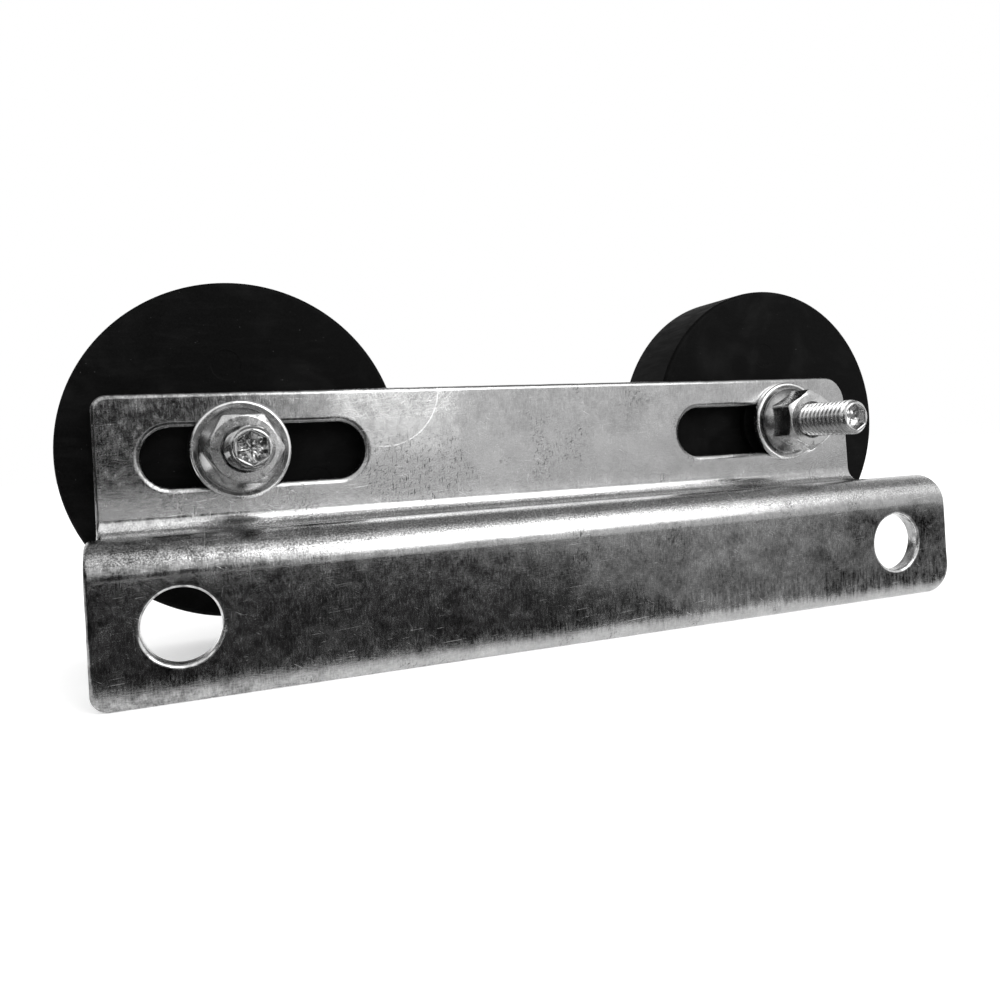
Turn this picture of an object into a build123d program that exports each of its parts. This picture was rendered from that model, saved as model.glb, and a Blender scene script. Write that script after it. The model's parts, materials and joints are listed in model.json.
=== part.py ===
"""Adjustable double guide roller for a sliding door, in millimetres.

A steel plate is bent to a Z. Its lower flange is bolted down through two round holes. Its upper
flange has two long slots, and an axle bolt clamped in each slot carries a wheel behind the plate.
The door leaf runs between the two wheels.

Frame: the origin is midway between the two fixing holes, on the front face of the lower flange.
+X runs along the plate, +Y from the lower flange back to the wheels, +Z up the flanges.
"""

from build123d import *

import os
from math import hypot

os.makedirs("parts", exist_ok=True)

# Bracket
LENGTH = 180.0
SHEET = 3.0
STEP_BACK = 27.2  # front face of the lower flange to front face of the upper flange
HEIGHT = 52.2
BEND_INSIDE = 3.5
BEND_OUTSIDE = BEND_INSIDE + SHEET
LEFT_CORNER = 3.0
UPPER_RIGHT_CORNER = 6.5
LOWER_RIGHT_CORNER = 6.0
RIM = 0.7  # rolled-over edge of the punched plate

# The web falls a little towards the back: the heights of its top at each flange's front face
WEB_AT_LOWER_FLANGE = 15.0
WEB_AT_UPPER_FLANGE = 12.4

# The ends are cut a little out of square, so that the lower edge is longer than the upper one
LEFT_END = -89.75
LEFT_SKEW = -0.011
RIGHT_END = 89.35
RIGHT_SKEW = 0.0385

HOLE_SPACING = 152.6
HOLE_DIAMETER = 12.5
SLOT_CENTRE = 60.0
SLOT_LENGTH = 43.2
SLOT_WIDTH = 11.4
SLOT_BELOW_EDGE = 12.5

# Heights and depths of the bracket's faces
BOTTOM_EDGE = -12.5
TOP_EDGE = BOTTOM_EDGE + HEIGHT
WEB_SLOPE = (WEB_AT_UPPER_FLANGE - WEB_AT_LOWER_FLANGE) / STEP_BACK
WEB_DROP = SHEET * hypot(1, WEB_SLOPE)  # the web's thickness, measured along Z
SLOT_HEIGHT = TOP_EDGE - SLOT_BELOW_EDGE
PLATE_FRONT = STEP_BACK
PLATE_BACK = STEP_BACK + SHEET

# Axles: where each bolt is clamped in its slot, a little above the slot's centreline
AXLES = {"left": (-63.2, SLOT_HEIGHT + 1.0), "right": (69.8, SLOT_HEIGHT + 1.6)}
NUT_TURN = {"left": 0.0, "right": 30.0}

# M8 hardware
THREAD_RADIUS = 3.95
BOLT_LENGTH = 40.0
ACROSS_FLATS = 13.0
HEAD_HEIGHT = 5.3
TIP_CHAMFER = 0.6
TIP_SOCKET_FLATS = 5.0
TIP_SOCKET_DEPTH = 2.6
NUT_BORE = 4.0
NUT_HEIGHT = 8.0
NUT_FLANGE_RADIUS = 8.15
NUT_FLANGE_RIM = 0.8
NUT_FLANGE_HEIGHT = 2.3
NUT_COUNTERSINK = 0.4
NUT_CORNER_CHAMFER = 0.5
WASHER_BORE = 4.2
FLAT_WASHER_RADIUS = 9.65
FLAT_WASHER_THICKNESS = 1.6
SLOT_WASHER_RADIUS = 10.0
SLOT_WASHER_THICKNESS = 1.6
SLEEVE_RADIUS = 6.0
SLEEVE_LENGTH = 4.2
HEAD_WASHER_THICKNESS = 1.0
SMALL_CHAMFER = 0.25

# Bearing, 8 x 22 x 7
BEARING_BORE = 4.0
BEARING_RADIUS = 11.0
BEARING_WIDTH = 7.0
INNER_SHOULDER = 6.05
OUTER_SHOULDER = 8.95
BALL_PITCH = 7.5
BALL_RADIUS = 1.985
BALL_COUNT = 7
RACEWAY_RADIUS = 2.05
CAGE_INSIDE = 6.75
CAGE_OUTSIDE = 8.25
CAGE_WIDTH = 5.4
POCKET_RADIUS = 2.1
POCKET_DEPTH = 4.0
SHIELD_INSIDE = 6.3
SHIELD_OUTSIDE = 9.6
SHIELD_SEAT = 2.95  # from the bearing's middle to each shield's inner face
SHIELD_THICKNESS = 0.35

# Wheel
WHEEL_RADIUS = 33.7
WHEEL_WIDTH = 17.3
WHEEL_GAP = 2.0  # plate to wheel
WHEEL_EDGE = 0.5
FRONT_BORE = 8.0

# Stations along +Y, from the nut at the front to the bolt head at the back
NUT_BACK = PLATE_FRONT - FLAT_WASHER_THICKNESS
NUT_FRONT = NUT_BACK - NUT_HEIGHT
SLEEVE_FRONT = PLATE_BACK + SLOT_WASHER_THICKNESS
BEARING_FRONT = SLEEVE_FRONT + SLEEVE_LENGTH
BEARING_MIDDLE = BEARING_FRONT + BEARING_WIDTH / 2
BEARING_BACK = BEARING_FRONT + BEARING_WIDTH
HEAD_FRONT = BEARING_BACK + HEAD_WASHER_THICKNESS
HEAD_BACK = HEAD_FRONT + HEAD_HEIGHT
BOLT_TIP = HEAD_FRONT - BOLT_LENGTH
WHEEL_FRONT = PLATE_BACK + WHEEL_GAP
WHEEL_BACK = WHEEL_FRONT + WHEEL_WIDTH


def finish(builder, name):
    """Label a finished piece and write it under its node's name."""
    builder.part.label = name
    export_step(builder.part, f"parts/{name}.step")
    volume = sum(solid.volume for solid in builder.part.solids())
    print(f"{name}: {len(builder.part.solids())} solid(s), {volume:.0f} mm3")


def ring(inside, outside, front, back):
    """A rectangle in an axle's half section: radius to the right, +Y upwards."""
    with Locations(((inside + outside) / 2, (front + back) / 2)):
        Rectangle(outside - inside, back - front)


def rims(builder):
    """The largest circles of a turned piece."""
    return builder.edges().filter_by(GeomType.CIRCLE).group_by(SortBy.RADIUS)[-1]


def web_top(depth):
    """Height of the web's upper face at a depth along +Y."""
    return WEB_AT_LOWER_FLANGE + WEB_SLOPE * depth


def end_plane(end, skew):
    """A cut across the bent plate whose X changes steadily along the sheet from the top edge."""
    return Plane(origin=(end, PLATE_FRONT, TOP_EDGE), z_dir=(1, skew, skew))


def through_sheet(edge):
    """True for an edge that runs straight through a flange's thickness."""
    return abs(edge.length - SHEET) < 0.05 and abs(edge.tangent_at(0).Y) > 0.99


def is_rim(edge):
    """True for the punched outline, not for the bend lines or the edges through the sheet."""
    return not through_sheet(edge) and edge.length < LENGTH - LOWER_RIGHT_CORNER


# Bracket: the bent profile, its rounded corners, the slots, the fixing holes and the rolled rims
with BuildPart() as bracket:
    with BuildSketch(Plane.YZ):
        with BuildLine():
            front = FilletPolyline(
                (0, BOTTOM_EDGE),
                (0, web_top(0)),
                (PLATE_FRONT, web_top(PLATE_FRONT)),
                (PLATE_FRONT, TOP_EDGE),
                radius=[BEND_OUTSIDE, BEND_INSIDE],
            )
            back = FilletPolyline(
                (SHEET, BOTTOM_EDGE),
                (SHEET, web_top(SHEET) - WEB_DROP),
                (PLATE_BACK, web_top(PLATE_BACK) - WEB_DROP),
                (PLATE_BACK, TOP_EDGE),
                radius=[BEND_INSIDE, BEND_OUTSIDE],
            )
            Line(front @ 0, back @ 0)
            Line(front @ 1, back @ 1)
        make_face()
    extrude(amount=LENGTH, both=True)
    split(bisect_by=end_plane(LEFT_END, LEFT_SKEW), keep=Keep.TOP)
    split(bisect_by=end_plane(RIGHT_END, RIGHT_SKEW), keep=Keep.BOTTOM)
    for level, end, radius in (
        (0, 0, LEFT_CORNER),
        (0, -1, LOWER_RIGHT_CORNER),
        (-1, 0, LEFT_CORNER),
        (-1, -1, UPPER_RIGHT_CORNER),
    ):
        corners = bracket.edges().filter_by(through_sheet).group_by(Axis.Z)[level]
        fillet(corners.sort_by(Axis.X)[end], radius=radius)
    with BuildSketch(Plane.XZ.offset(-PLATE_BACK)):
        with Locations((-SLOT_CENTRE, SLOT_HEIGHT), (SLOT_CENTRE, SLOT_HEIGHT)):
            SlotOverall(SLOT_LENGTH, SLOT_WIDTH)
    extrude(amount=SHEET, mode=Mode.SUBTRACT)
    with BuildSketch(Plane.XZ):
        with GridLocations(HOLE_SPACING, 1, 2, 1):
            Circle(HOLE_DIAMETER / 2)
    extrude(amount=-SHEET, mode=Mode.SUBTRACT)
    fillet(bracket.edges().filter_by(is_rim), radius=RIM)
finish(bracket, "bracket")

for side, (axle_x, axle_z) in AXLES.items():
    axis = Axis((axle_x, 0, axle_z), (0, 1, 0))
    section = Plane(origin=(axle_x, 0, axle_z), x_dir=(1, 0, 0), z_dir=(0, 0, 1))

    def across(station):
        """The plane across the axle at a station, facing the front, with +X to the right."""
        return Plane(
            origin=(axle_x, station, axle_z), x_dir=(1, 0, 0), z_dir=(0, -1, 0)
        )

    # Axle bolt: hexagon head at the back, chamfered tip with a hexagon recess at the front
    with BuildPart() as axle_bolt:
        with BuildSketch(section):
            ring(0, THREAD_RADIUS, BOLT_TIP, HEAD_FRONT)
        revolve(axis=axis)
        chamfer(axle_bolt.edges().group_by(Axis.Y)[0], length=TIP_CHAMFER)
        with BuildSketch(across(HEAD_BACK)):
            RegularPolygon(ACROSS_FLATS / 2, 6, major_radius=False)
        extrude(amount=HEAD_HEIGHT)
        with BuildSketch(across(BOLT_TIP)):
            RegularPolygon(TIP_SOCKET_FLATS / 2, 6, major_radius=False, rotation=30)
        extrude(amount=-TIP_SOCKET_DEPTH, mode=Mode.SUBTRACT)
    finish(axle_bolt, f"{side}_axle_bolt")

    # Flange nut: hexagon with chamfered front corners on a conical flange
    with BuildPart() as flange_nut:
        with BuildSketch(across(NUT_BACK)):
            RegularPolygon(
                ACROSS_FLATS / 2, 6, major_radius=False, rotation=NUT_TURN[side]
            )
        extrude(amount=NUT_HEIGHT)
        with BuildSketch(section):
            with BuildLine():
                corner = ACROSS_FLATS / 2 + 2 * NUT_CORNER_CHAMFER
                Polyline(
                    (0, NUT_BACK),
                    (corner, NUT_BACK),
                    (corner, NUT_FRONT + NUT_CORNER_CHAMFER),
                    (ACROSS_FLATS / 2, NUT_FRONT),
                    (0, NUT_FRONT),
                    close=True,
                )
            make_face()
        revolve(axis=axis, mode=Mode.INTERSECT)
        with BuildSketch(section):
            with BuildLine():
                Polyline(
                    (0, NUT_BACK),
                    (NUT_FLANGE_RADIUS, NUT_BACK),
                    (NUT_FLANGE_RADIUS, NUT_BACK - NUT_FLANGE_RIM),
                    (ACROSS_FLATS / 2, NUT_BACK - NUT_FLANGE_HEIGHT),
                    (0, NUT_BACK - NUT_FLANGE_HEIGHT),
                    close=True,
                )
            make_face()
        revolve(axis=axis)
        with BuildSketch(section):
            with BuildLine():
                Polyline(
                    (0, NUT_FRONT),
                    (NUT_BORE + NUT_COUNTERSINK, NUT_FRONT),
                    (NUT_BORE, NUT_FRONT + NUT_COUNTERSINK),
                    (NUT_BORE, NUT_BACK),
                    (0, NUT_BACK),
                    close=True,
                )
            make_face()
        revolve(axis=axis, mode=Mode.SUBTRACT)
    finish(flange_nut, f"{side}_flange_nut")

    # Flat washer between the nut and the plate
    with BuildPart() as flat_washer:
        with BuildSketch(section):
            ring(WASHER_BORE, FLAT_WASHER_RADIUS, NUT_BACK, PLATE_FRONT)
        revolve(axis=axis)
        chamfer(rims(flat_washer), length=SMALL_CHAMFER)
    finish(flat_washer, f"{side}_flat_washer")

    # Slot washer: bridges the slot behind the plate
    with BuildPart() as slot_washer:
        with BuildSketch(section):
            ring(WASHER_BORE, SLOT_WASHER_RADIUS, PLATE_BACK, SLEEVE_FRONT)
        revolve(axis=axis)
        chamfer(rims(slot_washer), length=SMALL_CHAMFER)
    finish(slot_washer, f"{side}_slot_washer")

    # Spacer sleeve: from the slot washer to the bearing's inner race, through the wheel's web
    with BuildPart() as spacer_sleeve:
        with BuildSketch(section):
            ring(WASHER_BORE, SLEEVE_RADIUS, SLEEVE_FRONT, BEARING_FRONT)
        revolve(axis=axis)
    finish(spacer_sleeve, f"{side}_spacer_sleeve")

    # Head washer: keeps the bolt head clear of the turning half of the bearing
    with BuildPart() as head_washer:
        with BuildSketch(section):
            ring(WASHER_BORE, SLEEVE_RADIUS, BEARING_BACK, HEAD_FRONT)
        revolve(axis=axis)
    finish(head_washer, f"{side}_head_washer")

    # Inner race: still, clamped on the bolt
    with BuildPart() as inner_race:
        with BuildSketch(section):
            ring(BEARING_BORE, INNER_SHOULDER, BEARING_FRONT, BEARING_BACK)
            with Locations((BALL_PITCH, BEARING_MIDDLE)):
                Circle(RACEWAY_RADIUS, mode=Mode.SUBTRACT)
        revolve(axis=axis)
    finish(inner_race, f"{side}_inner_race")

    # Outer race: turns with the wheel, with a seat for a shield at each side
    with BuildPart() as outer_race:
        with BuildSketch(section):
            ring(SHIELD_OUTSIDE, BEARING_RADIUS, BEARING_FRONT, BEARING_BACK)
            ring(
                OUTER_SHOULDER,
                BEARING_RADIUS,
                BEARING_MIDDLE - SHIELD_SEAT,
                BEARING_MIDDLE + SHIELD_SEAT,
            )
            with Locations((BALL_PITCH, BEARING_MIDDLE)):
                Circle(RACEWAY_RADIUS, mode=Mode.SUBTRACT)
        revolve(axis=axis)
    finish(outer_race, f"{side}_outer_race")

    # Balls, spaced by the cage
    with BuildPart(across(BEARING_MIDDLE)) as bearing_balls:
        with PolarLocations(BALL_PITCH, BALL_COUNT):
            Sphere(BALL_RADIUS)
    finish(bearing_balls, f"{side}_bearing_balls")

    # Cage: a ring with one round pocket for each ball
    with BuildPart(across(BEARING_MIDDLE)) as bearing_cage:
        Cylinder(CAGE_OUTSIDE, CAGE_WIDTH)
        Cylinder(CAGE_INSIDE, CAGE_WIDTH, mode=Mode.SUBTRACT)
        with PolarLocations(BALL_PITCH, BALL_COUNT):
            Cylinder(
                POCKET_RADIUS, POCKET_DEPTH, rotation=(0, 90, 0), mode=Mode.SUBTRACT
            )
    finish(bearing_cage, f"{side}_bearing_cage")

    # Shields: thin rings pressed into the outer race
    seats = {
        "front": BEARING_MIDDLE - SHIELD_SEAT - SHIELD_THICKNESS,
        "back": BEARING_MIDDLE + SHIELD_SEAT,
    }
    for face, seat in seats.items():
        with BuildPart() as shield:
            with BuildSketch(section):
                ring(SHIELD_INSIDE, SHIELD_OUTSIDE, seat, seat + SHIELD_THICKNESS)
            revolve(axis=axis)
        finish(shield, f"{side}_{face}_shield")

    # Wheel: solid, with the bearing's pocket open at the back and a clearance bore at the front
    with BuildPart() as wheel:
        with BuildSketch(section):
            ring(FRONT_BORE, WHEEL_RADIUS, WHEEL_FRONT, BEARING_FRONT)
            ring(BEARING_RADIUS, WHEEL_RADIUS, BEARING_FRONT, WHEEL_BACK)
        revolve(axis=axis)
        chamfer(rims(wheel), length=WHEEL_EDGE)
    finish(wheel, f"{side}_wheel")
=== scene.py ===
"""Visual model of an adjustable double guide roller for a sliding door.

Lengths are in metres. The frame is the CAD model's: the origin is midway between the two fixing
holes, on the front face of the lower flange, with +X along the bracket, +Y back to the wheels and
+Z up the flanges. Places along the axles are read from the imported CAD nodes.
"""

import json
from math import atan2, ceil, cos, hypot, pi, radians, sin, tan

import bmesh
import bpy
import numpy as np
from mathutils import Matrix, Vector, noise
from mathutils.geometry import delaunay_2d_cdt


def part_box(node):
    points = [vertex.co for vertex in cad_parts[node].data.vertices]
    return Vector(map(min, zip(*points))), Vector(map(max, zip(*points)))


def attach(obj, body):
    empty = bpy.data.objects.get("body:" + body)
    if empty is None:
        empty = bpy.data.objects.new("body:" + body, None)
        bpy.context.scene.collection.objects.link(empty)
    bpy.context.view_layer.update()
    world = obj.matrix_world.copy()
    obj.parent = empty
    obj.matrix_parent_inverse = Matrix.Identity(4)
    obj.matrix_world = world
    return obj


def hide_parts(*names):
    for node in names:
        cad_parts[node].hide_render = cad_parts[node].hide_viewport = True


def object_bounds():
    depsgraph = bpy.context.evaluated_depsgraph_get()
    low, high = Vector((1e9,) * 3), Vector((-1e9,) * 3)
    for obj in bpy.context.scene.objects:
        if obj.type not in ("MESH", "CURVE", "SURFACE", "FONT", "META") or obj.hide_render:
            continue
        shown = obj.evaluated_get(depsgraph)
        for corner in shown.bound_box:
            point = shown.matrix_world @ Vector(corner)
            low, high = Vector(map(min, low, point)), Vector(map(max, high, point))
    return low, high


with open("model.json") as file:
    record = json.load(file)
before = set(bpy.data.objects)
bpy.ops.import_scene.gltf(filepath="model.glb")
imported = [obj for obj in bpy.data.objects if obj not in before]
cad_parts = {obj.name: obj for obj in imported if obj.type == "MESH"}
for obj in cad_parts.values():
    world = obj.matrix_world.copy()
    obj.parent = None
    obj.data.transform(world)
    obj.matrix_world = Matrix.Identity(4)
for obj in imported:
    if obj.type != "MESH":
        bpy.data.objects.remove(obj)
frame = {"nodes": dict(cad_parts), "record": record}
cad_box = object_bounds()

MM = 0.001
SIDES = ("left", "right")

# The bent sheet
SHEET = 3.0 * MM
BEND_MIDDLE = 5.0 * MM  # bend radius at the middle of the sheet
WEB_AT_LOWER_FLANGE = 15.0 * MM
WEB_AT_UPPER_FLANGE = 12.4 * MM
LEFT_CORNER = 3.0 * MM
UPPER_RIGHT_CORNER = 6.5 * MM
LOWER_RIGHT_CORNER = 6.0 * MM
HOLE_SPACING = 152.6 * MM
HOLE_RADIUS = 6.25 * MM
SLOT_CENTRE = 60.0 * MM
SLOT_STRAIGHT = 31.8 * MM
SLOT_RADIUS = 5.7 * MM
SLOT_BELOW_EDGE = 12.5 * MM
LEFT_END = -89.75 * MM
LEFT_SKEW = -0.011
RIGHT_END = 89.35 * MM
RIGHT_SKEW = 0.0385

# Hardware
THREAD_RADIUS = 3.95 * MM
THREAD_PITCH = 1.25 * MM
THREAD_DEPTH = 0.72 * MM
THREAD_LENGTH = 22.0 * MM
ACROSS_FLATS = 13.0 * MM
WASHER_BORE = 4.2 * MM
SOCKET_FLATS = 5.0 * MM
WASHER_RADIUS = 9.65 * MM
NUT_TURN = {"left": 0.0, "right": 30.0}
FRONT_GAP = 0.03 * MM  # keeps a sliding face off the plate's
PIN_CIRCLE = 17.2 * MM  # radius on which the wheels' ejector-pin rings lie


# ---------------------------------------------------------------------------------------------
# Mesh helpers


def between(low, high, step):
    """Evenly spaced numbers from low to high, no further apart than the step."""
    return np.linspace(low, high, max(1, ceil(abs(high - low) / step - 1e-6)) + 1)


def rounded(corners, radii, steps=5):
    """A closed outline in 2D with each corner turned into an arc."""
    outline = []
    for index, (corner, radius) in enumerate(zip(corners, radii)):
        here = Vector(corner)
        back = (Vector(corners[index - 1]) - here).normalized()
        ahead = (Vector(corners[(index + 1) % len(corners)]) - here).normalized()
        if radius == 0:
            outline.append(here)
            continue
        half = back.angle(ahead) / 2
        middle = here + (back + ahead).normalized() * radius / sin(half)
        start = here + back * radius / tan(half) - middle
        sweep = Vector(start).angle_signed(here + ahead * radius / tan(half) - middle)
        for step in range(steps + 1):
            turn = Matrix.Rotation(-sweep * step / steps, 2)
            outline.append(middle + turn @ start)
    return [tuple(point) for point in outline]


def densified(outline, step):
    """The same closed outline with more points along its long sides."""
    points = []
    for start, end in zip(outline, outline[1:] + outline[:1]):
        start, end = Vector(start), Vector(end)
        count = max(1, ceil((end - start).length / step))
        points += [tuple(start.lerp(end, part / count)) for part in range(count)]
    return points


def stitched(rows, closed=False):
    """Points and faces of a surface whose rows are closed rings with the same number of points."""
    width = len(rows[0])
    pairs = len(rows) if closed else len(rows) - 1
    faces = []
    for row in range(pairs):
        first, second = row * width, (row + 1) % len(rows) * width
        for column in range(width):
            after = (column + 1) % width
            faces.append((first + column, first + after, second + after, second + column))
    return [point for row in rows for point in row], faces


def turned(profile, segments=128):
    """Points and faces of a closed (radius, depth) profile turned about the axle."""
    angles = [2 * pi * part / segments for part in range(segments)]
    rows = [[(r * cos(a), depth, r * sin(a)) for r, depth in profile] for a in angles]
    return stitched(rows, closed=True)


def add_piece(name, shape, material, body, node, at=(0, 0, 0), sharp=35):
    """Make a piece from points and faces, and let it stand for a CAD node."""
    points, faces = shape
    mesh = bpy.data.meshes.new(name)
    mesh.from_pydata([Vector(point) + Vector(at) for point in points], [], faces)
    clean = bmesh.new()
    clean.from_mesh(mesh)
    bmesh.ops.remove_doubles(clean, verts=clean.verts, dist=1e-6)
    bmesh.ops.dissolve_degenerate(clean, edges=clean.edges, dist=1e-7)
    bmesh.ops.recalc_face_normals(clean, faces=clean.faces)
    clean.to_mesh(mesh)
    clean.free()
    mesh.polygons.foreach_set("use_smooth", [True] * len(mesh.polygons))
    mesh.set_sharp_from_angle(angle=radians(sharp))
    mesh.materials.append(material)
    piece = bpy.data.objects.new(name, mesh)
    bpy.context.scene.collection.objects.link(piece)
    weighted = piece.modifiers.new("weighted_normals", "WEIGHTED_NORMAL")
    weighted.keep_sharp = True
    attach(piece, body)
    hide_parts(node)


# ---------------------------------------------------------------------------------------------
# Shader helpers


class Surface:
    """A Principled material, with short calls for the nodes that feed it."""

    def __init__(self, name, metallic, roughness, specular=0.5):
        self.material = bpy.data.materials.new(name)
        self.material.use_nodes = True
        self.tree = self.material.node_tree
        self.shader = self.tree.nodes["Principled BSDF"]
        self.shader.inputs["Metallic"].default_value = metallic
        self.shader.inputs["Roughness"].default_value = roughness
        self.shader.inputs["Specular IOR Level"].default_value = specular
        self.place = self.add("ShaderNodeTexCoord").outputs["Object"]

    def add(self, kind, values=None, **settings):
        """Add a node, set its properties, and set or link its inputs."""
        node = self.tree.nodes.new(kind)
        for key, value in settings.items():
            setattr(node, key, value)
        for key, value in (values or {}).items():
            if isinstance(value, bpy.types.NodeSocket):
                self.tree.links.new(value, node.inputs[key])
            else:
                node.inputs[key].default_value = value
        return node

    def math(self, operation, first, *others):
        """Combine numbers and sockets from left to right."""
        for other in others:
            first = self.add("ShaderNodeMath", {0: first, 1: other}, operation=operation).outputs[0]
        return first

    def times(self, *values):
        return self.math("MULTIPLY", *values)

    def plus(self, *values):
        return self.math("ADD", *values)

    def most(self, *values):
        return self.math("MAXIMUM", *values)

    def remap(self, value, low, high, new_low=0.0, new_high=1.0):
        """Map low..high to new_low..new_high with soft ends."""
        values = {0: value, 1: low, 2: high, 3: new_low, 4: new_high}
        return self.add("ShaderNodeMapRange", values, interpolation_type="SMOOTHSTEP").outputs[0]

    def spread(self, value, low, high):
        """Map the usual range of a noise to low..high."""
        return self.remap(value, 0.3, 0.7, low, high)

    def within(self, value, low, high, soft):
        """1 between low and high, falling to 0 over the soft distance outside them."""
        rise = self.remap(value, low - soft, low)
        fall = self.remap(value, high, high + soft, 1.0, 0.0)
        return self.times(rise, fall)

    def mapped(self, size=(1, 1, 1), turn=(0, 0, 0), shift=(0, 0, 0)):
        """Object coordinates, moved, turned, and then divided by a size along each axis."""
        moved = self.add("ShaderNodeMapping", {0: self.place, 1: shift, 2: turn}).outputs[0]
        scale = tuple(1 / length for length in size)
        return self.add("ShaderNodeMapping", {0: moved, 3: scale}).outputs[0]

    def noise(self, size, detail=3.0, roughness=0.55, distortion=0.0, turn=(0, 0, 0), seed=0.0):
        """Noise from 0 to 1 whose grains are about the given size along each axis."""
        if not isinstance(size, tuple):
            size = (size, size, size)
        values = {
            "Vector": self.mapped(size, turn),
            "W": seed,
            "Scale": 1.0,
            "Detail": detail,
            "Roughness": roughness,
            "Distortion": distortion,
        }
        return self.add("ShaderNodeTexNoise", values, noise_dimensions="4D").outputs["Fac"]

    def scratches(self, length, width, turn, seed, amount=0.72):
        """Thin marks, 1 on a mark, all at one angle in the XZ plane."""
        grain = self.noise((length, length, width), 2.0, 0.6, 0.4, (0, radians(turn), 0), seed)
        return self.remap(grain, amount, amount + 0.05)

    def axes(self):
        """The three coordinates as separate numbers."""
        split = self.add("ShaderNodeSeparateXYZ", {0: self.place})
        return split.outputs[0], split.outputs[1], split.outputs[2]

    def distance(self, x, z, at):
        """Distance in the XZ plane from a point."""
        across, upward = self.plus(x, -at[0]), self.plus(z, -at[1])
        squares = self.plus(self.times(across, across), self.times(upward, upward))
        return self.math("POWER", squares, 0.5)

    def grey(self, value):
        """Feed a brightness to the base colour."""
        colour = self.add("ShaderNodeCombineColor", {0: value, 1: value, 2: value}).outputs[0]
        self.tree.links.new(colour, self.shader.inputs["Base Color"])

    def rough(self, value):
        self.tree.links.new(value, self.shader.inputs["Roughness"])

    def bump(self, height, distance, strength=1.0):
        values = {"Height": height, "Distance": distance, "Strength": strength}
        normal = self.add("ShaderNodeBump", values).outputs[0]
        self.tree.links.new(normal, self.shader.inputs["Normal"])


# ---------------------------------------------------------------------------------------------
# Materials


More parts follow.
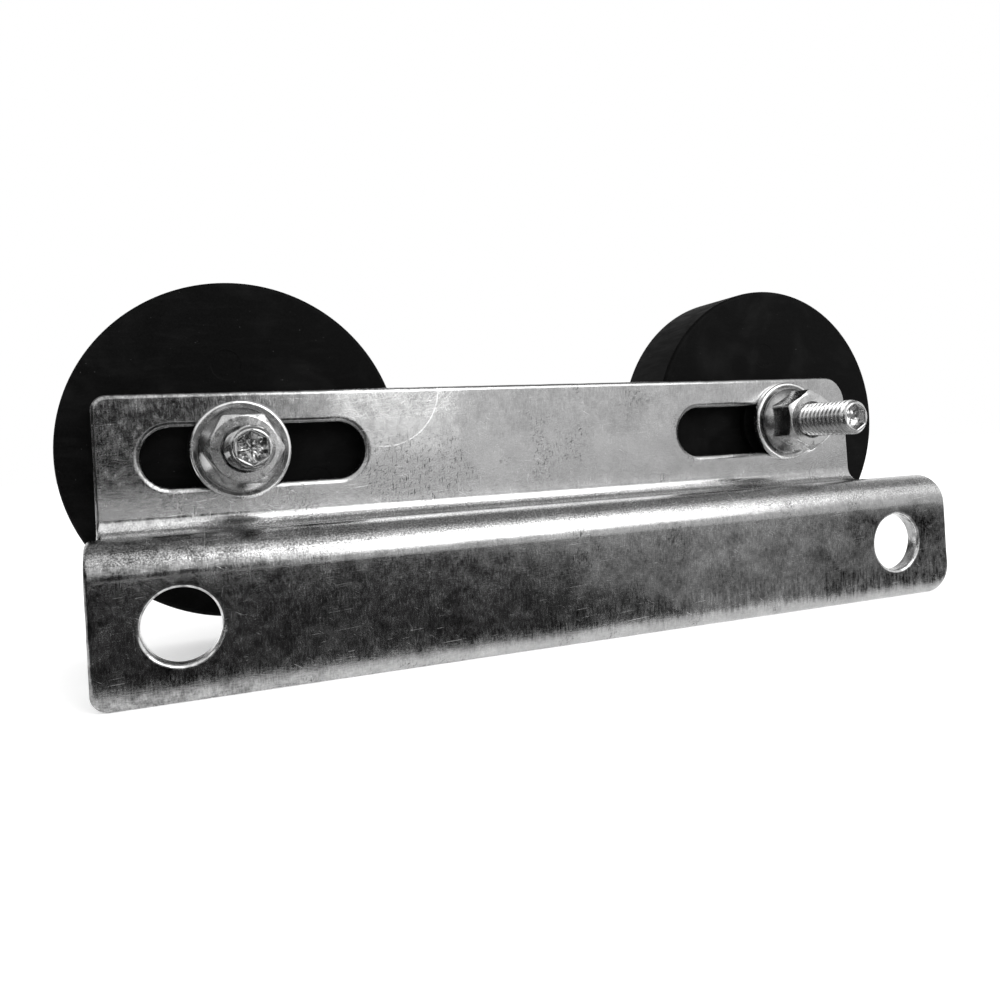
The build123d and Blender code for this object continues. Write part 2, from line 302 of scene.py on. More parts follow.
class ZincPlate(Surface):
    """Dull zinc plating on the bent sheet: cloudy, finely streaked, scuffed and scratched, with painted
    light: a lighter tone with painted highlights and shade on the upper flange, web and bends, a darker
    tone that is partly painted shade on the lower flange, and painted highlights round the fixing holes.
    """

    def __init__(self):
        super().__init__("zinc_plate", 1.0, 0.2)

        # Parts of the sheet
        x, y, z = self.x, self.y, self.z = self.axes()
        self.lower_flange = self.remap(y, 2 * MM, 5 * MM, 1.0, 0.0)
        self.bends = self.within(y, 0.8 * MM, 26.4 * MM, 0.6 * MM)
        self.upper_front = self.within(y, 26 * MM, 28 * MM, 0.5 * MM)
        self.left_end = self.remap(x, -85 * MM, -25 * MM, 1.0, 0.0)
        beside_slot = self.within(x, -42 * MM, -21 * MM, 6 * MM)
        above_bend = self.remap(z, 24 * MM, 30 * MM)
        self.handled = self.times(beside_slot, above_bend, self.upper_front)

        # Grains of the plating, from the widest to the finest
        self.clouds = self.noise(11 * MM, 4.0, 0.6, 0.8)
        self.blotches = self.noise(2.8 * MM, 4.0, 0.65, 0.6, seed=3.0)
        self.grain = self.noise((0.3 * MM, 0.3 * MM, 1.2 * MM), 3.0, 0.6, seed=5.0)
        self.weave = self.noise((1.1 * MM, 0.3 * MM, 0.25 * MM), 2.0, 0.6, seed=6.0)
        self.speckle = self.noise(0.3 * MM, 2.0, 0.7, seed=8.0)
        self.fine = self.plus(self.spread(self.grain, -0.04, 0.04), self.spread(self.weave, -0.03, 0.03))

        scratched = self.scratched()
        bright = self.most(scratched, self.remap(self.speckle, 0.69, 0.73))
        # Mix of the lighter tone with painted highlights and the darker lower-flange tone, which is partly
        # painted shade.
        plating = self.add("ShaderNodeMix", {0: self.front_low(), 2: self.light(), 3: self.dark()})
        tone = self.plus(plating.outputs[0], self.times(bright, 0.36), self.times(self.scuffed(), -0.32))
        # Painted highlights round the front of the fixing holes are added to the tone here.
        self.grey(self.plus(tone, *self.painted_hole_rim_highlights()))

        rough = self.plus(self.spread(self.blotches, 0.15, 0.24), self.spread(self.grain, -0.03, 0.05))
        self.rough(self.plus(rough, self.times(scratched, 0.15)))
        swell = self.plus(self.times(self.clouds, 0.8), self.times(self.blotches, 0.35))
        texture = self.times(self.plus(self.grain, self.weave), 0.14)
        texture = self.plus(texture, self.times(self.speckle, 0.12))
        texture = self.times(texture, self.plus(self.times(self.bends, 2.0), 1.0))
        self.bump(self.plus(swell, texture, self.times(scratched, -0.10)), 0.12 * MM, 0.5)

    def front_low(self):
        """1 on the lower flange, which takes the darker tone that is partly painted shade, but for its
        bend and its lower edge, which keep the lighter tone.
        """
        below_bend = self.remap(self.z, 5 * MM, 11 * MM, 1.0, 0.0)
        above_edge = self.remap(self.z, -11.6 * MM, -9.6 * MM)
        return self.times(self.lower_flange, below_bend, above_edge)

    def light(self):
        """Tone of the upper flange, the web and the bends, lighter than the lower flange's, with painted
        highlights and painted shade.
        """
        painted_glow_above_bend = self.remap(self.z, 17.5 * MM, 24 * MM, 1.0, 0.0)
        painted_glow_above_bend = self.times(painted_glow_above_bend, self.remap(self.y, 20 * MM, 24 * MM))
        return self.plus(
            self.spread(self.clouds, 0.38, 0.45),
            self.spread(self.blotches, -0.025, 0.025),
            self.times(self.fine, self.plus(self.times(self.left_end, 1.2), 0.8)),
            # Painted shade: the left end darkened in blotches, standing in for the dark surroundings it
            # reflects.
            self.times(self.left_end, self.remap(self.blotches, 0.35, 0.65, -0.20, -0.02)),
            self.times(self.bends, self.remap(self.speckle, 0.36, 0.64, -0.13, 0.21)),
            self.times(self.handled, self.remap(self.blotches, 0.35, 0.65, 0.08, 0.18)),
            # Painted highlight: a glow low on the upper flange above the bend, at the left end.
            self.times(painted_glow_above_bend, self.left_end, 0.30),
            # Painted highlight: the bends and the web brighter towards the right.
            self.times(self.bends, self.remap(self.x, -30 * MM, 50 * MM, 0.0, 0.14)),
            # Slightly darker from the middle to the right.
            self.remap(self.x, -12 * MM, 0.0, 0.0, -0.035),
        )

    def dark(self):
        """Tone of the lower flange: darker and blotchier, the darkness partly painted shade, with drawn
        streaks near its lower edge.
        """
        streaks = self.noise((0.7 * MM, 0.7 * MM, 6 * MM), 2.0, 0.5, seed=11.0)
        near_edge = self.remap(self.z, -6 * MM, -4 * MM, 1.0, 0.0)
        streaked = self.times(near_edge, self.remap(self.x, -30 * MM, 0.0))
        return self.plus(
            self.remap(self.clouds, 0.35, 0.65, 0.15, 0.28),
            self.spread(self.blotches, -0.06, 0.06),
            self.times(self.fine, 1.6),
            # Painted reflection: lighter towards the middle and darker towards the right end.
            self.remap(self.x, -35 * MM, 25 * MM, 0.0, 0.09),
            self.remap(self.x, 35 * MM, 82 * MM, 0.0, -0.17),
            self.times(self.remap(streaks, 0.4, 0.62, 0.03, -0.09), streaked),
        )

    def scratched(self):
        """Bright scratches, thickest beside the left slot, where one long arc ends them."""
        patches = self.remap(self.noise(16 * MM, 2.0, seed=9.0), 0.42, 0.6)
        everywhere = self.most(
            self.scratches(9 * MM, 0.10 * MM, 4, 1.0, 0.67),
            self.scratches(6 * MM, 0.09 * MM, 80, 2.0, 0.68),
            self.scratches(5 * MM, 0.10 * MM, -32, 4.0, 0.69),
        )
        rubbed = self.most(
            self.scratches(4 * MM, 0.08 * MM, 38, 17.0, 0.60),
            self.scratches(3 * MM, 0.08 * MM, -66, 18.0, 0.60),
            self.scratches(3.5 * MM, 0.08 * MM, 8, 19.0, 0.60),
        )
        from_centre = self.distance(self.x, self.z, (-34 * MM, 39.5 * MM))
        arc = self.times(
            self.within(from_centre, 11.92 * MM, 12.08 * MM, 0.12 * MM),
            self.remap(self.noise(0.9 * MM, 2.0, seed=15.0), 0.38, 0.46),
            self.remap(self.x, -37 * MM, -34 * MM),
            self.upper_front,
        )
        return self.most(
            self.times(everywhere, self.most(patches, self.times(self.handled, 1.5))),
            arc,
            self.times(rubbed, self.handled, self.remap(self.z, 32 * MM, 34 * MM)),
        )

    def scuffed(self):
        """Short dark scuffs, in patches and in a cluster below the scratches."""
        scuffs = self.most(
            self.scratches(1.5 * MM, 0.2 * MM, 84, 6.0, 0.59),
            self.scratches(1.0 * MM, 0.18 * MM, 24, 16.0, 0.60),
        )
        cluster = self.times(
            self.within(self.x, -37 * MM, -19 * MM, 4 * MM),
            self.within(self.z, 19 * MM, 28 * MM, 4 * MM),
            self.upper_front,
        )
        patches = self.remap(self.noise(10 * MM, 2.0, seed=13.0), 0.56, 0.64)
        return self.times(scuffs, self.most(patches, cluster))

    def painted_hole_rim_highlights(self):
        """Painted highlights: bright rings round the front rims of the two fixing holes."""
        bright = self.remap(self.blotches, 0.3, 0.6, 0.15, 0.55)
        for side in (-1, 1):
            from_hole = self.distance(self.x, self.z, (side * HOLE_SPACING / 2, 0.0))
            ring = self.within(from_hole, 5.0 * MM, 6.7 * MM, 0.35 * MM)
            yield self.times(ring, self.lower_flange, bright)


def zinc_hardware(axles):
    """Brighter zinc on the bolts, nuts and washers, with soft stains, painted shade on everything behind
    the nuts' front faces and painted highlights round the washer rims.
    """
    s = Surface("zinc_hardware", 1.0, 0.18)
    x, y, z = s.axes()
    patches = s.noise(1.6 * MM, 4.0, 0.6, 0.6)
    grain = s.noise(0.25 * MM, 3.0, 0.6, seed=2.0)
    painted_light_behind_nut = s.remap(y, 23.4 * MM, 25.0 * MM)
    # Painted shade: everything behind the nut's front face is darkened.
    light = s.plus(s.spread(patches, 0.42, 0.58), s.spread(grain, -0.05, 0.05), s.times(painted_light_behind_nut, -0.20))
    for axle in axles:
        from_axle = s.distance(x, z, (axle.x, axle.z))
        # Painted highlight round the rim of each washer behind the nut.
        rim = s.within(from_axle, WASHER_RADIUS - 0.55 * MM, WASHER_RADIUS + 0.1 * MM, 0.15 * MM)
        light = s.plus(light, s.times(rim, painted_light_behind_nut, 0.45))
    s.grey(light)
    s.rough(s.plus(s.spread(patches, 0.16, 0.26), s.spread(grain, 0.0, 0.05)))
    s.bump(s.plus(s.times(patches, 0.6), s.times(grain, 0.15)), 0.1 * MM, 0.4)
    return s.material


def black_nylon(name, axles=()):
    """Matte black moulded nylon with a fine grain, faint rubs and ejector-pin rings."""
    s = Surface(name, 0.0, 0.6, 0.045)
    x, _, z = s.axes()
    rubs = s.noise((7 * MM, 7 * MM, 1.2 * MM), 4.0, 0.6, 0.8)
    smears = s.noise(14 * MM, 3.0, 0.6, 1.0, seed=4.0)
    grain = s.noise(0.3 * MM, 3.0, 0.6, seed=2.0)
    dust = s.remap(s.noise(0.45 * MM, 1.0, seed=7.0), 0.76, 0.80, 0.0, 0.05)
    rubbed = s.remap(rubs, 0.45, 0.8, 0.0018, 0.0042)
    smeared = s.remap(smears, 0.45, 0.75, 0.0, 0.004)
    s.grey(s.plus(rubbed, s.spread(grain, -0.0008, 0.0008), smeared, dust))
    s.rough(s.remap(rubs, 0.35, 0.75, 0.5, 0.68))
    height = s.plus(s.times(grain, 0.4), s.times(rubs, 0.5))
    for axle in axles:
        for pin in range(3):
            angle = radians(95 + 120 * pin)
            pin_at = (axle.x + PIN_CIRCLE * cos(angle), axle.z + PIN_CIRCLE * sin(angle))
            from_pin = s.distance(x, z, pin_at)
            height = s.plus(height, s.remap(from_pin, 2.8 * MM, 3.1 * MM, -1.6, 0.0))
    s.bump(height, 0.06 * MM, 0.6)
    return s.material


def steel(name, tone, roughness):
    """Machined or pressed bearing steel with faint stains."""
    s = Surface(name, 1.0, roughness)
    stains = s.noise(2.5 * MM, 4.0, 0.6, 0.5)
    grain = s.noise(0.2 * MM, 2.0, 0.6, seed=3.0)
    s.grey(s.plus(s.remap(stains, 0.3, 0.75, tone, tone * 0.8), s.spread(grain, -0.03, 0.03)))
    s.rough(s.spread(stains, roughness, roughness + 0.12))
    s.bump(grain, 0.03 * MM, 0.4)
    return s.material


def centre_of(node):
    """The middle of a CAD node's box at rest."""
    low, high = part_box(node)
    return (low + high) / 2


slots = {part["node"]: part["material_slot"] for part in frame["record"]["subparts"]}
axle_centres = [centre_of(f"{side}_wheel") for side in SIDES]
materials = {
    "zinc_plate": ZincPlate().material,
    "zinc_hardware": zinc_hardware(axle_centres),
    "black_nylon_wheel": black_nylon("black_nylon_wheel", axle_centres),
    "black_nylon_washer": black_nylon("black_nylon_washer"),
    "bearing_steel": steel("bearing_steel", 0.6, 0.18),
    "shield_steel": steel("shield_steel", 0.5, 0.3),
    "cage_steel": steel("cage_steel", 0.42, 0.3),
    "polished_ball": steel("polished_ball", 0.75, 0.05),
}
for node, part in frame["nodes"].items():
    part.data.materials.clear()
    part.data.materials.append(materials[slots[node]])


# ---------------------------------------------------------------------------------------------
# Bracket: a flat pattern of (x, s), with s measured down the sheet from its top edge, which is
# folded along the middle of the sheet


class Fold:
    """The line of the sheet's middle in the YZ plane, from the top edge to the bottom edge."""

    def __init__(self, corners, radius):
        self.runs = []
        self.rows = [0.0]
        start = Vector(corners[0])
        for index, corner in enumerate(corners[1:], 1):
            corner = Vector(corner)
            heading = (corner - start).normalized()
            if index == len(corners) - 1:
                self.add_line(start, heading, (corner - start).length)
                break
            ahead = (Vector(corners[index + 1]) - corner).normalized()
            turn = atan2(heading.x * ahead.y - heading.y * ahead.x, heading.dot(ahead))
            trim = radius * tan(abs(turn) / 2)
            self.add_line(start, heading, (corner - start).length - trim)
            self.add_bend(corner - heading * trim, heading, turn, radius)
            start = corner + ahead * trim
        self.length = self.rows[-1]

    def add_line(self, start, heading, length):
        self.runs.append((self.rows[-1], start, heading, 0.0, 0.0))
        self.rows += list(between(self.rows[-1], self.rows[-1] + length, 3 * MM))[1:]

    def add_bend(self, start, heading, turn, radius):
        self.runs.append((self.rows[-1], start, heading, turn, radius))
        length = radius * abs(turn)
        self.rows += list(between(self.rows[-1], self.rows[-1] + length, 0.3 * MM))[1:]

    def point(self, x, s, depth):
        """The place of a flat-pattern point at a depth from the sheet's front face."""
        begin, start, heading, turn, radius = [run for run in self.runs if run[0] <= s + 1e-9][-1]
        along = s - begin
        if radius:
            side = 1 if turn > 0 else -1
            angle = side * along / radius
            centre = start + Vector((-heading.y, heading.x)) * side * radius
            spin = Matrix.Rotation(angle, 2)
            middle = centre + spin @ (start - centre)
            heading = spin @ heading
        else:
            middle = start + heading * along
        normal = Vector((-heading.y, heading.x))
        y, z = middle + normal * (depth - SHEET / 2)
        return (x, y, z)


def outward(loop):
    """Unit normals of a closed loop, pointing away from its inside."""
    points = np.array(loop)
    along = np.roll(points, -1, axis=0) - np.roll(points, 1, axis=0)
    along /= np.linalg.norm(along, axis=1)[:, None]
    area = np.sum(points[:, 0] * np.roll(points[:, 1], -1) - points[:, 1] * np.roll(points[:, 0], -1))
    return np.stack([along[:, 1], -along[:, 0]], axis=1) * np.sign(area)


def is_inside(points, loop):
    """Which points lie inside a closed loop."""
    inside = np.zeros(len(points), bool)
    for (ax, ay), (bx, by) in zip(loop, np.roll(loop, -1, axis=0)):
        if ay == by:
            continue
        crosses = (ay > points[:, 1]) != (by > points[:, 1])
        inside ^= crosses & (points[:, 0] < ax + (points[:, 1] - ay) / (by - ay) * (bx - ax))
    return inside


def is_clear(points, loop, gap):
    """Which points are further than a gap from every point of a loop."""
    away = np.ones(len(points), bool)
    for corner in loop:
        away &= np.hypot(points[:, 0] - corner[0], points[:, 1] - corner[1]) > gap
    return away


class Rim:
    """One punched edge of the sheet: a closed loop whose edges are rolled over."""

    STEPS = 7

    def __init__(self, loop, is_hole, front_roll, back_roll, bottom_roll=0.0):
        self.loop = np.array(loop)
        self.normals = outward(loop) * (-1 if is_hole else 1)
        wander = [noise.noise(Vector((x / (5 * MM), s / (5 * MM), 7.0))) for x, s in loop]
        self.loop -= self.normals * (np.abs(wander)[:, None] * 0.10 * MM)
        lower_edge = np.clip(self.normals[:, 1], 0, 1) ** 2
        self.front = front_roll + (bottom_roll - front_roll) * lower_edge * (bottom_roll > 0)
        self.back = np.full(len(loop), back_roll)

    def inset(self, roll, part, lift):
        """The loop drawn in along a quarter round, from part 0 at the flat to 1 at the edge."""
        angle = part * pi / 2
        inset = self.loop - self.normals * (roll * (1 - sin(angle)))[:, None]
        depth = np.minimum(roll, lift) * (1 - cos(angle))
        return inset, depth

    def rows(self):
        """Flat-pattern rings with depths, from the front face round to the back face."""
        parts = [step / self.STEPS for step in range(self.STEPS + 1)]
        rings = [self.inset(self.front, part, 0.9 * MM) for part in parts]
        rear = [self.inset(self.back, part, 0.4 * MM) for part in reversed(parts)]
        return rings + [(ring, SHEET - depth) for ring, depth in rear]


def skin(rims, fold, ends, face):
    """Triangles of one face of the sheet, inside its outline and outside its holes."""
    loops = [rim.inset(rim.front if face == "front" else rim.back, 0.0, 0.0)[0] for rim in rims]
    columns = between(ends[0], ends[1], 2.4 * MM)
    points = np.array([(x, s) for s in fold.rows for x in columns])
    keep = is_inside(points, loops[0]) & is_clear(points, loops[0], 0.6 * MM)
    for loop in loops[1:]:
        keep &= ~is_inside(points, loop) & is_clear(points, loop, 0.6 * MM)
    vertices = [Vector(point) for point in points[keep]]
    edges = []
    for loop in loops:
        first = len(vertices)
        vertices += [Vector(point) for point in loop]
        edges += [(first + i, first + (i + 1) % len(loop)) for i in range(len(loop))]
    flat, _, triangles, _, _, _ = delaunay_2d_cdt(vertices, edges, [], 0, 1e-9)
    middles = np.array([sum((flat[i] for i in face), Vector((0, 0))) / 3 for face in triangles])
    wanted = is_inside(middles, loops[0])
    for loop in loops[1:]:
        wanted &= ~is_inside(middles, loop)
    return [tuple(point) for point in flat], [f for f, want in zip(triangles, wanted) if want]


def circle(x, s, radius, points=96):
    angles = [2 * pi * part / points for part in range(points)]
    return [(x + radius * cos(angle), s + radius * sin(angle)) for angle in angles]


def slot_outline(x, s):
    """A long slot with round ends."""
    half, radius = SLOT_STRAIGHT / 2, SLOT_RADIUS
    reach = half + radius
    left, right, top, bottom = x - reach, x + reach, s - radius, s + radius
    corners = [(left, top), (right, top), (right, bottom), (left, bottom)]
    return densified(rounded(corners, [radius * 0.999] * 4, 20), 1.5 * MM)


def bracket_shape():
    """Points and faces of the whole bent sheet."""
    low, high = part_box("bracket")
    lower_middle, upper_middle = low.y + SHEET / 2, high.y - SHEET / 2
    step_back = upper_middle - lower_middle
    slope = (WEB_AT_UPPER_FLANGE - WEB_AT_LOWER_FLANGE) / step_back
    drop = SHEET / 2 * hypot(1, slope)
    web_lower = WEB_AT_LOWER_FLANGE + slope * SHEET / 2 - drop
    web_upper = WEB_AT_UPPER_FLANGE + slope * SHEET / 2 - drop
    upper = [(upper_middle, high.z), (upper_middle, web_upper)]
    lower = [(lower_middle, web_lower), (lower_middle, low.z)]
    fold = Fold(upper + lower, BEND_MIDDLE)
    reach = step_back + high.z - low.z
    left = (LEFT_END, LEFT_END + LEFT_SKEW * reach)
    right = (RIGHT_END, RIGHT_END + RIGHT_SKEW * reach)
    outline = [(left[0], 0), (right[0], 0), (right[1], fold.length), (left[1], fold.length)]
    radii = [LEFT_CORNER, UPPER_RIGHT_CORNER, LOWER_RIGHT_CORNER, LEFT_CORNER]
    outline = densified(rounded(outline, radii, 14), 0.9 * MM)
    hole_at = fold.length + low.z
    rims = [Rim(outline, False, 1.0 * MM, 0.5 * MM, 2.2 * MM)]
    for side in (-1, 1):
        rims.append(Rim(slot_outline(side * SLOT_CENTRE, SLOT_BELOW_EDGE), True, 1.3 * MM, 0.4 * MM))
        rims.append(Rim(circle(side * HOLE_SPACING / 2, hole_at, HOLE_RADIUS), True, 0.7 * MM, 0.4 * MM))

    points, faces = [], []
    for face, depth in (("front", 0.0), ("back", SHEET)):
        flat, triangles = skin(rims, fold, (left[1], right[1]), face)
        faces += [tuple(len(points) + i for i in triangle) for triangle in triangles]
        points += [fold.point(x, s, depth) for x, s in flat]
    for rim in rims:
        rows = []
        for ring, depths in rim.rows():
            depths = np.broadcast_to(depths, len(ring))
            rows.append([fold.point(x, s, depth) for (x, s), depth in zip(ring, depths)])
        ring_points, ring_faces = stitched(rows)
        faces += [tuple(len(points) + i for i in quad) for quad in ring_faces]
        points += ring_points
    return points, faces


add_piece("bent_bracket", bracket_shape(), materials["zinc_plate"], "bracket", "bracket", sharp=50)


# ---------------------------------------------------------------------------------------------
# Hardware on each axle


def hexagon(angle, flats, rounding=0.0):
    """Radius of a hexagon with a corner at angle 0 and rounded corners."""
    off_corner = (angle + pi / 6) % (pi / 3) - pi / 6
    middle = (flats / 2 - rounding) / cos(pi / 6)
    if rounding and abs(off_corner) < atan2(rounding / 2, middle + rounding * cos(pi / 6)):
        reach = (rounding**2 - (middle * sin(off_corner)) ** 2) ** 0.5
        return middle * cos(off_corner) + reach
    return flats / 2 / cos(pi / 6 - abs(off_corner))


def hexagon_angles(rounding_angle, turn):
    """Angles for a hexagonal piece, closer together round its corners."""
    offsets = [rounding_angle * part for part in (-1.0, -0.6, -0.2, 0.2, 0.6, 1.0)]
    offsets += list(np.linspace(rounding_angle, radians(60) - rounding_angle, 12)[1:-1])
    return [radians(turn) + radians(60) * side + offset for side in range(6) for offset in offsets]


def ring_at(angles, radii, depths):
    """One ring of points about the axle; radii and depths are numbers or functions of angle."""
    points = []
    for angle in angles:
        radius = radii(angle) if callable(radii) else radii
        depth = depths(angle) if callable(depths) else depths
        points.append((radius * cos(angle), depth, radius * sin(angle)))
    return points


def thread_radius(angle, depth, tip):
    """Radius of the threaded end: a V thread with worn crests and a chamfered start."""
    phase = ((depth - tip) / THREAD_PITCH + angle / (2 * pi)) % 1.0
    height = 1 - abs(2 * phase - 1)
    flank = min(1.0, max(0.0, (height - 0.12) / 0.68))
    radius = THREAD_RADIUS - THREAD_DEPTH * (1 - flank)
    chamfer = THREAD_RADIUS - 0.75 * MM + (depth - tip) * 0.9
    return min(radius, chamfer)


def bolt_shape(side):
    """Hexagon-head bolt: recess in the tip, helical thread, plain shank and head."""
    low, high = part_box(f"{side}_axle_bolt")
    tip, back = low.y, high.y
    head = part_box(f"{side}_head_washer")[1].y
    angles = [radians(2.5) * part for part in range(144)]
    turn = pi / 6

    def socket(scale):
        return lambda a: hexagon(a + turn, SOCKET_FLATS, 0.25 * MM) * scale

    def worn(depth, amount, scale):
        """The recess floor's depth, dented by noise over the place on it."""
        def place(angle):
            radius = socket(scale)(angle) / (1.1 * MM)
            spot = Vector((cos(angle) * radius, sin(angle) * radius, 5.0 * (side == "right")))
            return tip + depth + amount * noise.noise(spot)
        return place

    rows = [ring_at(angles, 0.0, tip + 2.2 * MM)]
    for part in (0.15, 0.3, 0.45, 0.6, 0.75):
        rows.append(ring_at(angles, socket(part), worn(1.9 * MM, 1.0 * MM, part)))
    rows += [
        ring_at(angles, socket(0.88), worn(1.7 * MM, 0.9 * MM, 0.88)),
        ring_at(angles, socket(0.97), worn(1.2 * MM, 0.4 * MM, 0.97)),
        ring_at(angles, socket(1.02), tip + 0.22 * MM),
        ring_at(angles, socket(1.07), tip + 0.05 * MM),
        ring_at(angles, socket(1.13), tip),
        ring_at(angles, THREAD_RADIUS - 0.95 * MM, tip),
    ]
    for depth in between(tip + 0.04 * MM, tip + THREAD_LENGTH, THREAD_PITCH / 10):
        rows.append(ring_at(angles, lambda a: thread_radius(a, depth, tip), depth))
    rows.append(ring_at(angles, THREAD_RADIUS, tip + THREAD_LENGTH + 1.0 * MM))
    rows.append(ring_at(angles, THREAD_RADIUS, head - 0.3 * MM))
    rows.append(ring_at(angles, THREAD_RADIUS + 0.2 * MM, head))

    def outer(angle):
        return hexagon(angle, ACROSS_FLATS, 0.3 * MM)

    def crown(angle):
        return back - 0.05 * MM - max(0.0, outer(angle) - 6.2 * MM) * tan(radians(30))

    rows.append(ring_at(angles, 5.9 * MM, head))
    rows.append(ring_at(angles, 6.0 * MM, head + 0.25 * MM))
    rows.append(ring_at(angles, lambda a: outer(a) - 0.15 * MM, head + 0.25 * MM))
    rows.append(ring_at(angles, outer, head + 0.4 * MM))
    rows.append(ring_at(angles, outer, crown))
    rows.append(ring_at(angles, 6.1 * MM, back))
    rows.append(ring_at(angles, 4.2 * MM, back))
    rows.append(ring_at(angles, 3.9 * MM, back - 0.25 * MM))
    rows.append(ring_at(angles, 0.0, back - 0.25 * MM))
    return stitched(rows)


def nut_shape(side):
    """Hexagon nut on a conical flange, with chamfered corners and a countersunk bore."""
    low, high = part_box(f"{side}_flange_nut")
    front, back = low.y, high.y
    rounding = 0.8 * MM
    angles = hexagon_angles(radians(3.4), NUT_TURN[side])
    turn = radians(NUT_TURN[side])
    rim, flange_height, flats = 0.8 * MM, 2.3 * MM, ACROSS_FLATS / 2
    flange = (high.x - low.x) / 2
    face = 6.15 * MM

    def outer(angle):
        return hexagon(angle - turn, ACROSS_FLATS, rounding)

    def cone(angle):
        part = (flange - outer(angle)) / (flange - flats)
        return back - rim - part * (flange_height - rim)

    def shoulder(angle):
        return front + (outer(angle) - face) * tan(radians(32))

    rows = [
        ring_at(angles, 4.0 * MM, back),
        ring_at(angles, flange - 0.25 * MM, back),
        ring_at(angles, flange - 0.07 * MM, back - 0.07 * MM),
        ring_at(angles, flange, back - 0.25 * MM),
        ring_at(angles, flange, back - rim + 0.2 * MM),
        ring_at(angles, flange - 0.1 * MM, back - rim),
        ring_at(angles, lambda a: (flange + outer(a)) / 2, lambda a: (back - rim + cone(a)) / 2),
        ring_at(angles, lambda a: outer(a) + 0.12 * MM, lambda a: cone(a) + 0.05 * MM),
        ring_at(angles, outer, lambda a: cone(a) - 0.15 * MM),
        ring_at(angles, outer, lambda a: shoulder(a) + 0.1 * MM),
        ring_at(angles, lambda a: outer(a) - 0.06 * MM, lambda a: shoulder(a) - 0.03 * MM),
        ring_at(angles, face + 0.1 * MM, front + 0.04 * MM),
        ring_at(angles, face - 0.1 * MM, front),
        ring_at(angles, 4.45 * MM, front),
        ring_at(angles, 4.3 * MM, front + 0.1 * MM),
        ring_at(angles, 4.0 * MM, front + 0.45 * MM),
    ]
    return stitched(rows, closed=True)


def turned_part(node):
    """A plain turned ring that fills its CAD node's box but for a hair's gap in front of it."""
    low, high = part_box(node)
    radius, front = (high.x - low.x) / 2, low.y + FRONT_GAP
    corners = [(WASHER_BORE, front), (radius, front), (radius, high.y), (WASHER_BORE, high.y)]
    return turned(rounded(corners, [0.2 * MM] * 4, 4))


def flat_washer_shape(side):
    """A pressed washer: a rolled front rim and a slightly dished face."""
    low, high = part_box(f"{side}_flat_washer")
    radius, front, back = (high.x - low.x) / 2, low.y, high.y
    corners = [
        (WASHER_BORE, front + 0.12 * MM),
        (radius - 1.3 * MM, front + 0.12 * MM),
        (radius - 0.7 * MM, front),
        (radius, front),
        (radius, back),
        (WASHER_BORE, back),
    ]
    return turned(rounded(corners, [0.1 * MM, 0.5 * MM, 0.3 * MM, 0.55 * MM, 0.2 * MM, 0.1 * MM], 6), 160)


def wheel_shape(side):
    """Solid wheel: rounded tread edges, shallow face rings, and a stepped bearing pocket."""
    low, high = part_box(f"{side}_wheel")
    race_low, race_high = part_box(f"{side}_outer_race")
    radius, front, back = (high.x - low.x) / 2, low.y, high.y
    pocket, seat = (race_high.x - race_low.x) / 2, race_low.y
    bore, hub, dish, dish_edge = 8.0 * MM, 15.0 * MM, 0.25 * MM, 30.5 * MM
    corners = [
        (bore, front),
        (radius, front),
        (radius, back),
        (dish_edge + 0.5 * MM, back),
        (dish_edge, back - dish),
        (hub + 0.5 * MM, back - dish),
        (hub, back),
        (pocket, back),
        (pocket, seat),
        (bore, seat),
    ]
    soft, tread = 0.3 * MM, 0.9 * MM
    radii = [soft, tread, tread, soft, soft, soft, soft, 0.5 * MM, 0.1 * MM, soft]
    return turned(rounded(corners, radii, 6), 192)


def outer_race_shape(side):
    """Outer race with its raceway, shield seats and rounded corners."""
    low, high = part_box(f"{side}_outer_race")
    shield_low, shield_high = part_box(f"{side}_front_shield")
    radius, middle = (high.x - low.x) / 2, (low.y + high.y) / 2
    seat = (shield_high.x - shield_low.x) / 2
    shoulder, lip = 8.95 * MM, middle - shield_high.y
    pitch, raceway = 7.5 * MM, 2.05 * MM
    turns = np.linspace(-0.78, 0.78, 13)
    groove = [(pitch + raceway * cos(turn), middle - raceway * sin(turn)) for turn in turns]
    corners = [(seat, low.y), (radius, low.y), (radius, high.y), (seat, high.y)]
    outline = rounded(corners, [0.15 * MM, 0.45 * MM, 0.45 * MM, 0.15 * MM], 5)
    back_lip = [(seat, middle + lip), (shoulder, middle + lip)]
    front_lip = [(shoulder, middle - lip), (seat, middle - lip)]
    return turned(outline + back_lip + groove + front_lip)


def shield_shape(side, face):
    """Pressed shield with a shallow ring in its outer face."""
    low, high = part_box(f"{side}_{face}_shield")
    radius, inside = (high.x - low.x) / 2, 6.3 * MM
    thick = high.y - low.y
    near, far = (low.y, high.y) if face == "front" else (high.y, low.y)
    inward = 1 if face == "front" else -1
    press = inward * thick * 0.45
    ring = [(inside, near), (inside + 0.9 * MM, near), (inside + 1.2 * MM, near + press)]
    ring += [(radius - 0.9 * MM, near + press), (radius - 0.6 * MM, near), (radius, near)]
    return turned(ring + [(radius, far), (inside, far)])


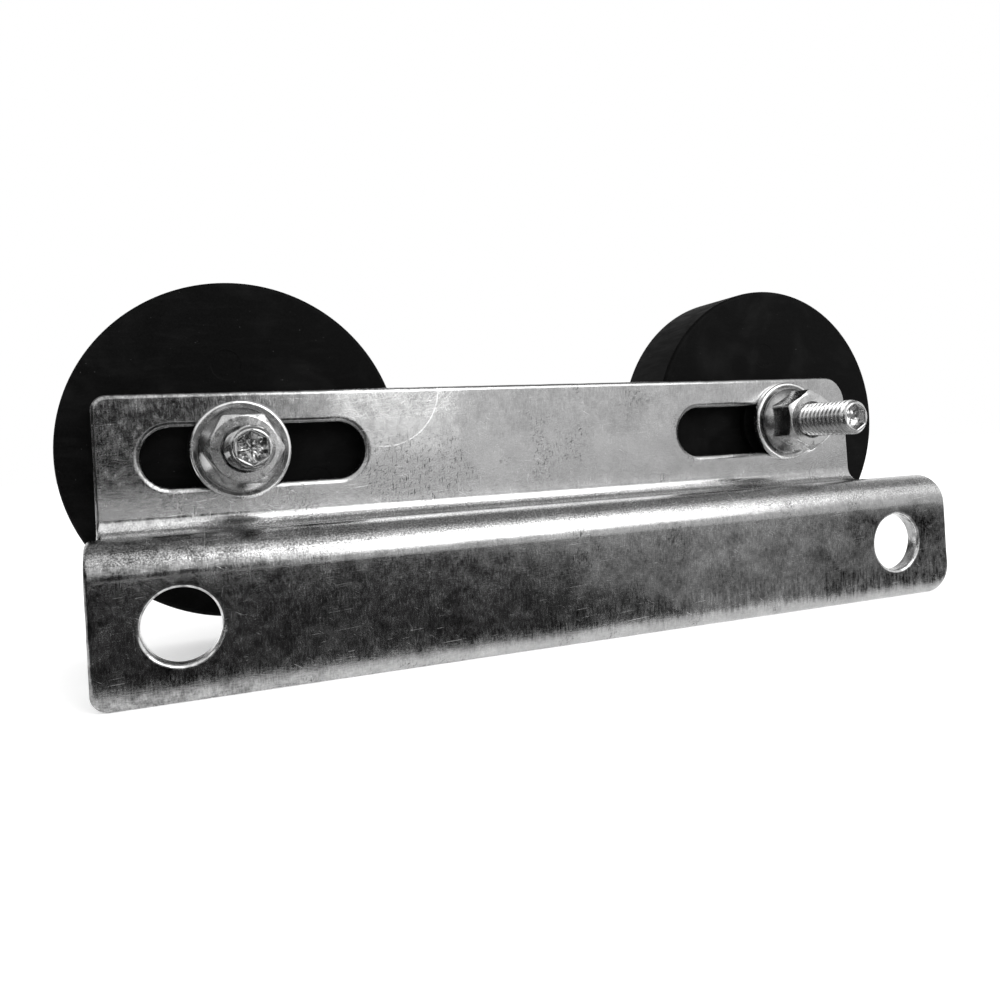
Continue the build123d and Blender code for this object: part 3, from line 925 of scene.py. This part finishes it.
def add_axle(side):
    """Every visible piece on one axle, its wheel and its bearing."""
    centre = centre_of(f"{side}_flat_washer")
    at = (centre.x, 0, centre.z)
    axle, wheel = f"{side}_axle", f"{side}_wheel"
    shapes = [
        ("axle_bolt", bolt_shape(side), axle, 40),
        ("flange_nut", nut_shape(side), axle, 28),
        ("flat_washer", flat_washer_shape(side), axle, 50),
        ("slot_washer", turned_part(f"{side}_slot_washer"), axle, 50),
        ("spacer_sleeve", turned_part(f"{side}_spacer_sleeve"), axle, 50),
        ("head_washer", turned_part(f"{side}_head_washer"), axle, 50),
        ("wheel", wheel_shape(side), wheel, 50),
        ("outer_race", outer_race_shape(side), wheel, 50),
        ("front_shield", shield_shape(side, "front"), wheel, 50),
        ("back_shield", shield_shape(side, "back"), wheel, 50),
    ]
    for part, shape, body, sharp in shapes:
        node = f"{side}_{part}"
        add_piece(f"{node}_detail", shape, materials[slots[node]], body, node, at, sharp)


for side in SIDES:
    add_axle(side)


# ---------------------------------------------------------------------------------------------
# Studio


def add_camera():
    """The camera: close to the bracket's left half and a little above it, turned to the right."""
    camera = bpy.data.cameras.new("camera")
    camera.lens = 29.78
    camera.sensor_width = 36
    camera.clip_start = 0.001
    camera.shift_x = 0.0225
    camera.shift_y = -0.0275
    holder = bpy.data.objects.new("camera", camera)
    heading = Matrix.Rotation(0.362, 3, "Z")
    roll = Matrix.Rotation(-0.059, 3, "Y")
    tilt = Matrix.Rotation(0.012, 3, "X")
    right, ahead, up = heading @ roll @ tilt
    axes = Matrix((right, up, -ahead)).transposed().to_4x4()
    holder.matrix_world = Matrix.Translation((-77.53 * MM, -141.06 * MM, 26.57 * MM)) @ axes
    bpy.context.scene.collection.objects.link(holder)
    bpy.context.scene.camera = holder


def glow(name, tone, strength):
    """A plain emitting material for the floor and the cards."""
    material = bpy.data.materials.new(name)
    material.use_nodes = True
    shader = material.node_tree.nodes["Principled BSDF"]
    shader.inputs["Base Color"].default_value = (tone, tone, tone, 1)
    shader.inputs["Roughness"].default_value = 1.0
    shader.inputs["Specular IOR Level"].default_value = 0.0
    shader.inputs["Emission Color"].default_value = (1, 1, 1, 1)
    shader.inputs["Emission Strength"].default_value = strength
    return material


def add_card(name, corners, tone, strength, only_reflected=True):
    """A flat card of the studio, seen in reflections alone unless it is the floor."""
    mesh = bpy.data.meshes.new(name)
    mesh.from_pydata(corners, [], [tuple(range(len(corners)))])
    mesh.materials.append(glow(name, tone, strength))
    card = bpy.data.objects.new(name, mesh)
    bpy.context.scene.collection.objects.link(card)
    if only_reflected:
        card.visible_camera = False
        card.visible_diffuse = False
        card.visible_shadow = False
        card.visible_transmission = False


def add_light(name, place, target, size, power):
    """A square area light turned to a point."""
    light = bpy.data.lights.new(name, "AREA")
    light.energy = power
    light.shape = "SQUARE"
    light.size = size
    holder = bpy.data.objects.new(name, light)
    holder.location = place
    holder.rotation_euler = (Vector(target) - Vector(place)).to_track_quat("-Z", "Y").to_euler()
    bpy.context.scene.collection.objects.link(holder)


def level(x, y, z):
    """Corners of a level card at one height."""
    return [(x[0], y[0], z), (x[1], y[0], z), (x[1], y[1], z), (x[0], y[1], z)]


def facing_front(x, y, z):
    """Corners of an upright card across the Y axis."""
    return [(x[0], y, z[0]), (x[1], y, z[0]), (x[1], y, z[1]), (x[0], y, z[1])]


def facing_side(x, y, z):
    """Corners of an upright card across the X axis."""
    return [(x, y[0], z[0]), (x, y[1], z[0]), (x, y[1], z[1]), (x, y[0], z[1])]


floor = cad_box[0].z
world = bpy.data.worlds.new("studio")
world.use_nodes = True
world.node_tree.nodes["Background"].inputs["Color"].default_value = (1, 1, 1, 1)
world.node_tree.nodes["Background"].inputs["Strength"].default_value = 1.0
bpy.context.scene.world = world
bpy.context.scene.view_settings.view_transform = "Standard"
add_camera()
add_card("floor", level((-2, 2), (-2, 2), floor), 0.9, 0.36, only_reflected=False)
table_height = floor + 0.5 * MM
add_card("dark_table", level((-0.5, 0.03), (-0.38, -0.009), table_height), 0.02, 0.04)
add_card("grey_table", level((0.03, 0.35), (-0.38, -0.009), table_height), 0.02, 0.38)
add_card("far_table", level((0.35, 0.9), (-0.38, -0.009), table_height), 0.02, 0.2)
add_card("dark_overhead", level((-0.8, 0.8), (-0.08, 0.7), 0.5), 0.02, 0.24)
add_card("dark_front", facing_front((-0.4, -0.01), -0.38, (0.006, 0.12)), 0.02, 0.03)
add_card("dark_left", facing_side(-0.5, (-0.45, 0.3), (floor, 0.25)), 0.02, 0.03)
add_light("key", (0.20, -0.42, 0.36), (0, 0, 0.02), 0.40, 1.6)
